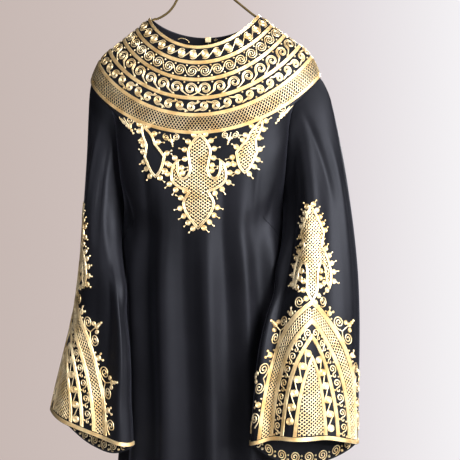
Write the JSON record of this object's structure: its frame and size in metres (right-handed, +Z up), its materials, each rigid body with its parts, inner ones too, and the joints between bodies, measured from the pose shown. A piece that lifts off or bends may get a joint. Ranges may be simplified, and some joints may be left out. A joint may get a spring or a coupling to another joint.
{
  "type": "kaftan dress on a wire hanger",
  "caption": "Long black kaftan dress with bell sleeves and gold braid yoke, hanging on a brass wire hanger by its hook.",
  "frame": {"origin": "seat of the hanger's hook, the inside of its top, where a rail carries it", "axes": "+Z up, +X to the viewer's right, -Y the way the front of the dress faces"},
  "size_m": [0.5245, 0.2674, 1.534],
  "materials": {
    "black_crepe": "matt crepe with a soft sheen",
    "gold_braid": "metallic gold thread",
    "brass_wire": "polished"
  },
  "bodies": {
    "root": {"front_panel": "black_crepe", "back_panel_left": "black_crepe", "back_panel_right": "black_crepe", "sleeve_left": "black_crepe", "sleeve_right": "black_crepe", "neck_braid": "gold_braid", "yoke_braid_1": "gold_braid", "yoke_braid_2": "gold_braid", "yoke_braid_3": "gold_braid", "yoke_braid_4": "gold_braid", "yoke_braid_5": "gold_braid", "pendant_centre": "gold_braid", "pendant_left": "gold_braid", "pendant_right": "gold_braid", "medallion_left": "gold_braid", "medallion_right": "gold_braid", "chevron_1_left": "gold_braid", "chevron_2_left": "gold_braid", "chevron_3_left": "gold_braid", "chevron_4_left": "gold_braid", "chevron_1_right": "gold_braid", "chevron_2_right": "gold_braid", "chevron_3_right": "gold_braid", "chevron_4_right": "gold_braid", "hem_braid_left": "gold_braid", "hem_braid_right": "gold_braid", "hanger_arms": "brass_wire", "hanger_hook": "brass_wire", "hanger_ferrule": "brass_wire"}
  },
  "joints": []
}
